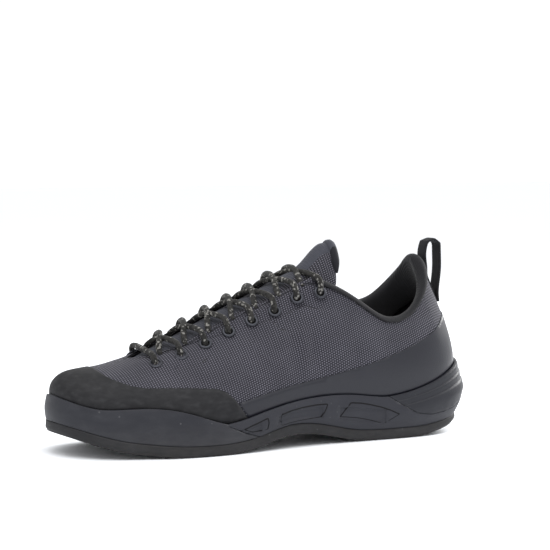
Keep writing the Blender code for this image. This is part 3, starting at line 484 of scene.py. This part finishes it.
def rubber(name, colour, roughness, dirt):
    """Moulded rubber or foam: cloudy tone, pale specks and rubs, and dust that thins out upwards."""
    made, tree, shader = start(name, roughness)
    cloudy = noise(tree, scale=26.0, detail=5.0)
    grain = noise(tree, scale=1300.0, detail=2.0)
    fine = noise(tree, scale=210.0, detail=5.0, stretch=(1.0, 1.0, 3.0))
    rubs = calc(tree, "POWER", noise(tree, scale=70.0, detail=6.0, stretch=(1.0, 1.0, 2.0)), 3.0)
    specks = tree.nodes.new("ShaderNodeTexVoronoi")
    specks.inputs["Scale"].default_value = 330.0
    tree.links.new(shoe_place(tree), specks.inputs["Vector"])
    picked = tree.nodes.new("ShaderNodeSeparateColor")
    tree.links.new(specks.outputs["Color"], picked.inputs[0])
    dots = calc(tree, "MULTIPLY", calc(tree, "LESS_THAN", specks.outputs["Distance"], 0.20),
                calc(tree, "GREATER_THAN", picked.outputs[1], 0.93))
    parts = tree.nodes.new("ShaderNodeSeparateXYZ")
    tree.links.new(shoe_place(tree), parts.inputs[0])
    low = calc(tree, "SUBTRACT", 1.0, calc(tree, "MULTIPLY", parts.outputs[2], 45.0))
    dusty = calc(tree, "MULTIPLY", calc(tree, "MAXIMUM", low, 0.0), calc(tree, "MULTIPLY", fine, dirt))
    lighter = tuple(value * 1.5 + 0.001 for value in colour)
    tone = mix(tree, cloudy, colour, lighter)
    tone = mix(tree, calc(tree, "MULTIPLY", dots, dirt), tone, (0.090, 0.090, 0.095))
    tone = mix(tree, calc(tree, "MULTIPLY", rubs, dirt * 1.2), tone, (0.070, 0.072, 0.080))
    tree.links.new(mix(tree, dusty, tone, (0.075, 0.070, 0.066)), shader.inputs["Base Color"])
    tree.links.new(calc(tree, "MULTIPLY_ADD", cloudy, 0.22, roughness - 0.10), shader.inputs["Roughness"])
    height = calc(tree, "ADD", grain, calc(tree, "MULTIPLY", fine, 0.8))
    raise_by(tree, shader, height, strength=0.35, deep=0.0003)
    return made


def sole_piece(node, name, finish, sharp):
    """A moulded piece of the sole, its edges over the sharp angle kept crisp."""
    thing = round_off(piece_from(merged(node), name), crease=1.0, angle=sharp)
    thing.data.materials.append(finish)
    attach(thing, "root")
    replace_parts(thing, node)
    return thing


foam = rubber("midsole_foam", (0.0140, 0.0145, 0.0190), roughness=0.50, dirt=0.15)
bumper_rubber = rubber("bumper_rubber", (0.0115, 0.0120, 0.0158), roughness=0.50, dirt=0.45)
clip_rubber = rubber("clip_rubber", (0.0105, 0.0110, 0.0145), roughness=0.46, dirt=0.10)
outsole_rubber = rubber("outsole_rubber", (0.0060, 0.0060, 0.0072), roughness=0.60, dirt=0.35)
midsole = sole_piece("midsole", "foam_midsole", foam, 28)
sole_piece("toe_bumper", "rubber_toe_bumper", bumper_rubber, 40)
sole_piece("heel_clip", "ribbed_heel_clip", clip_rubber, 22)
sole_piece("outsole", "lugged_outsole", outsole_rubber, 30)

# Panel grooves: narrow moulded grooves that frame three sunk panels on each side of the midsole.
# Each is drawn as a dark line of painted shade let into the foam, through corners given as length and height
# in millimetres.
# painted shade: the groove lines are near black, darker than the foam round them
groove_shade_finish, tree, shader = start("groove_shade", roughness=0.8)
tree.links.new(mix(tree, noise(tree, scale=500.0), (0.0015, 0.0015, 0.0020), (0.0045, 0.0045, 0.0060)),
               shader.inputs["Base Color"])


def line_piece(name, points, radius, finish, tip=1.0):
    """A round bead or lace along points, as a smooth curve turned into a mesh; tip thins its ends."""
    curve = bpy.data.curves.new(name, "CURVE")
    curve.dimensions = "3D"
    curve.bevel_depth = radius
    curve.bevel_resolution = 3
    curve.use_fill_caps = True
    spline = curve.splines.new("NURBS")
    spline.points.add(len(points) - 1)
    for target, point in zip(spline.points, points):
        target.co = (*point, 1.0)
    spline.points[0].radius = spline.points[-1].radius = tip
    spline.order_u = 3
    spline.use_endpoint_u = True
    spline.resolution_u = 6
    guide = bpy.data.objects.new(name + "_guide", curve)
    bpy.context.scene.collection.objects.link(guide)
    tube = bpy.data.meshes.new_from_object(guide.evaluated_get(bpy.context.evaluated_depsgraph_get()))
    bpy.data.objects.remove(guide)
    bpy.data.curves.remove(curve)
    mesh = bmesh.new()
    mesh.from_mesh(tube)
    bpy.data.meshes.remove(tube)
    bmesh.ops.remove_doubles(mesh, verts=mesh.verts, dist=1e-6)
    bmesh.ops.recalc_face_normals(mesh, faces=mesh.faces)
    thing = piece_from(mesh, name)
    thing.data.materials.append(finish)
    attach(thing, "root")
    return thing


MAIN_GROOVES = (
    ((-37, 15.6), (-28, 18.6), (-19.5, 21.4), (-19.3, 18.0), (-20, 14.4)),
    ((-9, 22.7), (-1, 24.7), (8.6, 26.0), (18, 26.7), (27, 26.6), (24.5, 22.3), (22, 18.6)),
    ((80.5, 16.6), (74.5, 19.4), (67.5, 21.9), (59.5, 24.0), (52.5, 25.4), (44.5, 26.2), (40.5, 21.8),
     (36.8, 17.6)),
)
LOWER_GROOVES = (
    ((-37, 15.6), (-31, 13.4), (-20, 14.4)),
    ((-9, 22.7), (-9.3, 19.2), (-9, 15.7), (-1, 17.0), (6, 17.8), (14, 18.3), (22, 18.6)),
    ((80.5, 16.6), (74.5, 13.6), (69, 11.0), (60.5, 13.6), (51, 15.8), (43, 16.9), (36.8, 17.6)),
)
main_radius, lower_radius = 0.00048, 0.00032
sunk = 0.00020
steps_between = 3
clear_of_sole, within_foam = 0.080, 0.036
midsole_surface = tree_of(midsole)


def let_in(side, place):
    """A point just under the midsole's flank at a length and a height, both in millimetres."""
    beside = Vector((place[0] / 1000, side * clear_of_sole, place[1] / 1000))
    hit, normal, _, _ = midsole_surface.ray_cast(beside, Vector((0.0, -side, 0.0)))
    if hit is None:
        hit, normal, _, _ = midsole_surface.find_nearest(Vector((beside.x, side * within_foam, beside.z)))
    return hit - normal * sunk


for side, word in ((-1, "lateral"), (1, "medial")):
    for number, corners in enumerate(MAIN_GROOVES + LOWER_GROOVES, start=1):
        places = []
        for (x0, z0), (x1, z1) in zip(corners, corners[1:]):
            places += [(x0 + (x1 - x0) * step / steps_between, z0 + (z1 - z0) * step / steps_between)
                       for step in range(steps_between)]
        run = [let_in(side, place) for place in places + [corners[-1]]]
        radius = main_radius if number <= len(MAIN_GROOVES) else lower_radius
        line_piece("groove_shade_line_%s_%d" % (word, number), run, radius, groove_shade_finish)

# Collar: foam in a black knit cover, thickest at the heel. It is bound over the cloth's edge,
# from one corner of the eyestay round the heel to the other.
knit, tree, shader = start("collar_knit", roughness=0.88)
nap(shader, weight=0.10, roughness=0.5)
ribs = tree.nodes.new("ShaderNodeTexWave")
ribs.inputs["Scale"].default_value = 480.0
ribs.inputs["Distortion"].default_value = 2.0
tree.links.new(shoe_place(tree), ribs.inputs["Vector"])
tree.links.new(mix(tree, ribs.outputs["Fac"], (0.0035, 0.0035, 0.0045), (0.0100, 0.0100, 0.0120)),
               shader.inputs["Base Color"])
raise_by(tree, shader, calc(tree, "ADD", ribs.outputs["Fac"], noise(tree, scale=700.0)), strength=0.5,
         deep=0.0004)
collar = round_off(piece_from(merged("collar"), "knit_collar"), crease=0.0, angle=170)
collar.data.materials.append(knit)
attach(collar, "root")
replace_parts(collar, "collar")

# Tongue: a padded tongue with woven sides and a plain grey middle strip, sewn in at its lower end.
# Its free top wraps the ankle, so its wings hang down behind the eyestay's corners, and a bead ends its top.
strip_half_width = 0.0085
wing_drop, wing_back, top_back = 0.0225, 0.0065, 0.0045
free_end_length = 0.012
free_places, free_shares = (0.018, 0.0273, 0.046), (0.0, 0.45, 1.0)
strip, tree, shader = start("tongue_cloth", roughness=0.80)
nap(shader, weight=0.06, roughness=0.5)
threads = weave_heights(tree)
sides = mix(tree, calc(tree, "POWER", threads, thread_contrast), slate_ground, light_thread)
parts = tree.nodes.new("ShaderNodeSeparateXYZ")
tree.links.new(shoe_place(tree), parts.inputs[0])
middle = calc(tree, "LESS_THAN", calc(tree, "ABSOLUTE", parts.outputs[1]), strip_half_width)
plain = mix(tree, noise(tree, scale=400.0), (0.030, 0.031, 0.040), (0.042, 0.044, 0.056))
tree.links.new(mix(tree, middle, sides, plain), shader.inputs["Base Color"])
raise_by(tree, shader, calc(tree, "ADD", threads, calc(tree, "MULTIPLY", middle, 2.0)), strength=0.5,
         deep=0.0004)
tongue = round_off(piece_from(merged("tongue"), "padded_tongue"), crease=0.0, angle=170)
tongue_end, tongue_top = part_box("tongue")[1].x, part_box("tongue")[1].z
free_end = [v.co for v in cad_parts["tongue"].data.vertices if v.co.x > tongue_end - free_end_length]
tongue_middle = (max(p.y for p in free_end) + min(p.y for p in free_end)) / 2
tongue_reach = max(p.y for p in free_end) - tongue_middle
for vert in tongue.data.vertices:
    aside = min(1.0, abs(vert.co.y - tongue_middle) / tongue_reach)
    free = np.interp(vert.co.x, free_places, free_shares)
    vert.co.z -= free * wing_drop * aside * aside
    vert.co.x -= free * free * (wing_back * aside * aside + top_back)
cloth_map(tongue)
tongue.data.materials.append(strip)
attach(tongue, "root")
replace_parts(tongue, "tongue")

roll_radius = 0.0030
roll_share, roll_points = 0.80, 13
roll_in, roll_curve = 0.0048, 0.0044
roll_sunk, roll_fall = 0.0012, 0.0062
top_roll = [(tongue_end - top_back - roll_in + (roll_curve - wing_back) * aside * aside,
             tongue_middle + tongue_reach * aside,
             tongue_top - roll_sunk - (roll_fall + wing_drop) * aside * aside)
            for aside in np.linspace(-roll_share, roll_share, roll_points)]
line_piece("tongue_roll", top_roll, roll_radius, strip, tip=0.3)

# Footbed: a thin sheet of foam under black mesh, moulded to the foot.
# It lies loose on the midsole, inside the upper.
footbed = round_off(piece_from(merged("insole"), "footbed"), crease=0.6, angle=50)
footbed.data.materials.append(lining)
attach(footbed, "root")
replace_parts(footbed, "insole")

# Pull loop: black woven webbing with fine cross ribs, folded into a loop.
# Both its ends are sewn in at the back of the collar, so it stands up behind the heel.
webbing, tree, shader = start("loop_webbing", roughness=0.82)
bars = tree.nodes.new("ShaderNodeTexWave")
bars.bands_direction = "Z"
bars.inputs["Scale"].default_value = 420.0
tree.links.new(shoe_place(tree), bars.inputs["Vector"])
tree.links.new(mix(tree, bars.outputs["Fac"], (0.003, 0.003, 0.004), (0.013, 0.013, 0.015)),
               shader.inputs["Base Color"])
raise_by(tree, shader, calc(tree, "ADD", bars.outputs["Fac"], noise(tree, scale=600.0)), strength=0.6,
         deep=0.0003)
loop = round_off(piece_from(merged("pull_loop"), "webbing_pull_loop"), crease=0.85, angle=50)
loop.data.materials.append(webbing)
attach(loop, "root")
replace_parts(loop, "pull_loop")

# Eyelets: dark metal rings, pressed through the cloth and rolled over round the lace holes.
# Each has a black disc behind it, painted shade for the depth of its hole.
hole_radius, bead_radius = 0.0024, 0.00095
bead_flatness = 0.75
disc_overlap, disc_thickness, disc_depth = 0.0004, 0.0004, 0.0007
metal, tree, shader = start("eyelet_metal", roughness=0.36)
shader.inputs["Metallic"].default_value = 0.6
worn = noise(tree, scale=500.0, detail=4.0)
tree.links.new(mix(tree, worn, (0.022, 0.023, 0.028), (0.060, 0.062, 0.073)), shader.inputs["Base Color"])
tree.links.new(calc(tree, "MULTIPLY_ADD", worn, 0.3, 0.22), shader.inputs["Roughness"])
raise_by(tree, shader, worn, strength=0.2, deep=0.0001)
dark, tree, shader = start("hole_shade", roughness=0.95)
# painted shade: near-black colour of the discs in the eyelet holes
tree.links.new(mix(tree, noise(tree, scale=800.0), (0.001, 0.001, 0.001), (0.004, 0.004, 0.004)),
               shader.inputs["Base Color"])


def eyelet_ring(name, on_cloth):
    """A rolled ring, spun from a small circle."""
    mesh = bmesh.new()
    upright = Matrix.Translation((hole_radius + bead_radius, 0, 0)) @ Matrix.Rotation(math.pi / 2, 4, "X")
    outline = bmesh.ops.create_circle(mesh, segments=8, radius=bead_radius, matrix=upright)["verts"]
    bmesh.ops.spin(mesh, geom=outline + mesh.edges[:], cent=(0, 0, 0), axis=(0, 0, 1), angle=math.tau,
                   steps=24, use_merge=True)
    bmesh.ops.scale(mesh, vec=(1.0, 1.0, bead_flatness), verts=mesh.verts)
    bmesh.ops.recalc_face_normals(mesh, faces=mesh.faces)
    bmesh.ops.transform(mesh, matrix=on_cloth, verts=mesh.verts)
    return piece_from(mesh, name)


def eyelet_hole_shade(name, on_cloth):
    """The black disc in a ring, painted shade for the depth of its hole."""
    mesh = bmesh.new()
    bmesh.ops.create_cone(mesh, cap_ends=True, segments=20, radius1=hole_radius + disc_overlap,
                          radius2=hole_radius + disc_overlap, depth=disc_thickness,
                          matrix=on_cloth @ Matrix.Translation((0, 0, -disc_depth)))
    return piece_from(mesh, name)


for (side, number), (spot, normal) in eyelets.items():
    on_cloth = Matrix.Translation(spot) @ normal.to_track_quat("Z", "Y").to_matrix().to_4x4()
    ring = eyelet_ring("eyelet_ring_%s_%d" % (side, number), on_cloth)
    ring.data.materials.append(metal)
    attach(ring, "root")
    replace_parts(ring, "eyelet_%s_%d" % (side, number))
    hole_shade_disc = eyelet_hole_shade("eyelet_hole_%s_%d" % (side, number), on_cloth)
    hole_shade_disc.data.materials.append(dark)
    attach(hole_shade_disc, "root")

# Laces: round braided cord with light flecks. Each strand comes up from under one edge of the throat,
# crosses to the other and goes down into its eyelet; a bar closes the lowest pair.
lace_radius = 0.0019
edge_reach, edge_drop, edge_rise = 0.0098, 0.0008, 0.6
over_edge = 0.0027
past_eyelet = 0.38
crossing_height, one_over_other = 0.0040, 0.0009
braid, tree, shader = start("lace_braid", roughness=0.84)
shader.inputs["Sheen Weight"].default_value = 0.05
flecks = tree.nodes.new("ShaderNodeTexVoronoi")
flecks.inputs["Scale"].default_value = 780.0
tree.links.new(shoe_place(tree), flecks.inputs["Vector"])
chosen = tree.nodes.new("ShaderNodeSeparateColor")
tree.links.new(flecks.outputs["Color"], chosen.inputs[0])
light_fleck = calc(tree, "GREATER_THAN", chosen.outputs[0], 0.86)
thread = mix(tree, chosen.outputs[1], (0.006, 0.006, 0.006), (0.026, 0.025, 0.023))
tree.links.new(mix(tree, light_fleck, thread, (0.16, 0.155, 0.145)), shader.inputs["Base Color"])
raise_by(tree, shader, flecks.outputs["Distance"], strength=0.8, deep=0.0003)


def inwards_of(side):
    """The way from an edge of the throat to its middle, as a sign."""
    return 1.0 if side == "lateral" else -1.0


def to_edge(side, number):
    """The way up the cloth from an eyelet, and the point where it meets the throat's edge."""
    spot, normal = eyelets[side, number]
    rising = Vector((0.0, inwards_of(side), edge_rise))
    climb = rising - normal * normal.dot(rising)
    climb = Vector((0.0, climb.y, climb.z)).normalized()
    return climb, spot + climb * edge_reach - Vector((0, 0, edge_drop))


def into_eyelet(side, number):
    """The lace's run from over the throat's edge down into an eyelet."""
    spot, normal = eyelets[side, number]
    climb, edge = to_edge(side, number)
    return [edge + (normal + Vector((0, 0, 1))).normalized() * over_edge,
            spot + climb * 0.0050 + normal * 0.0032,
            spot + climb * 0.0012 + normal * 0.0012,
            spot - normal * 0.0020]


def under_edge(side, number):
    """Where a strand comes up from under the throat's edge, past an eyelet."""
    base = to_edge(side, number)[1].lerp(to_edge(side, number + 1)[1], past_eyelet)
    inwards = inwards_of(side)
    return [base + Vector((0, -inwards * 0.0005, -0.0026)), base + Vector((0, inwards * 0.0036, 0.0006))]


left, right = into_eyelet("lateral", 1), into_eyelet("medial", 1)
dip = Vector((0, 0, 0.0012))
bar_middle = (left[0] + right[0]) / 2 - Vector((0.0012, 0, 0.0006))
bar = left[:0:-1] + [left[0] - dip, bar_middle, right[0] - dip] + right[1:]
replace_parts(line_piece("front_bar_lace", bar, lace_radius, braid), "lace_bar")
for number in range(1, lace_pairs):
    for side, other, step in (("lateral", "medial", one_over_other), ("medial", "lateral", -one_over_other)):
        begin, end = under_edge(side, number), into_eyelet(other, number + 1)
        centre = (begin[1] + end[0] + under_edge(other, number)[1] + into_eyelet(side, number + 1)[0]) / 4
        centre.z += crossing_height + step
        strand = line_piece("lace_%s_%d" % (side, number), begin + [centre] + end, lace_radius, braid)
        if side == "lateral":
            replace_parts(strand, "lace_cross_%d" % number)
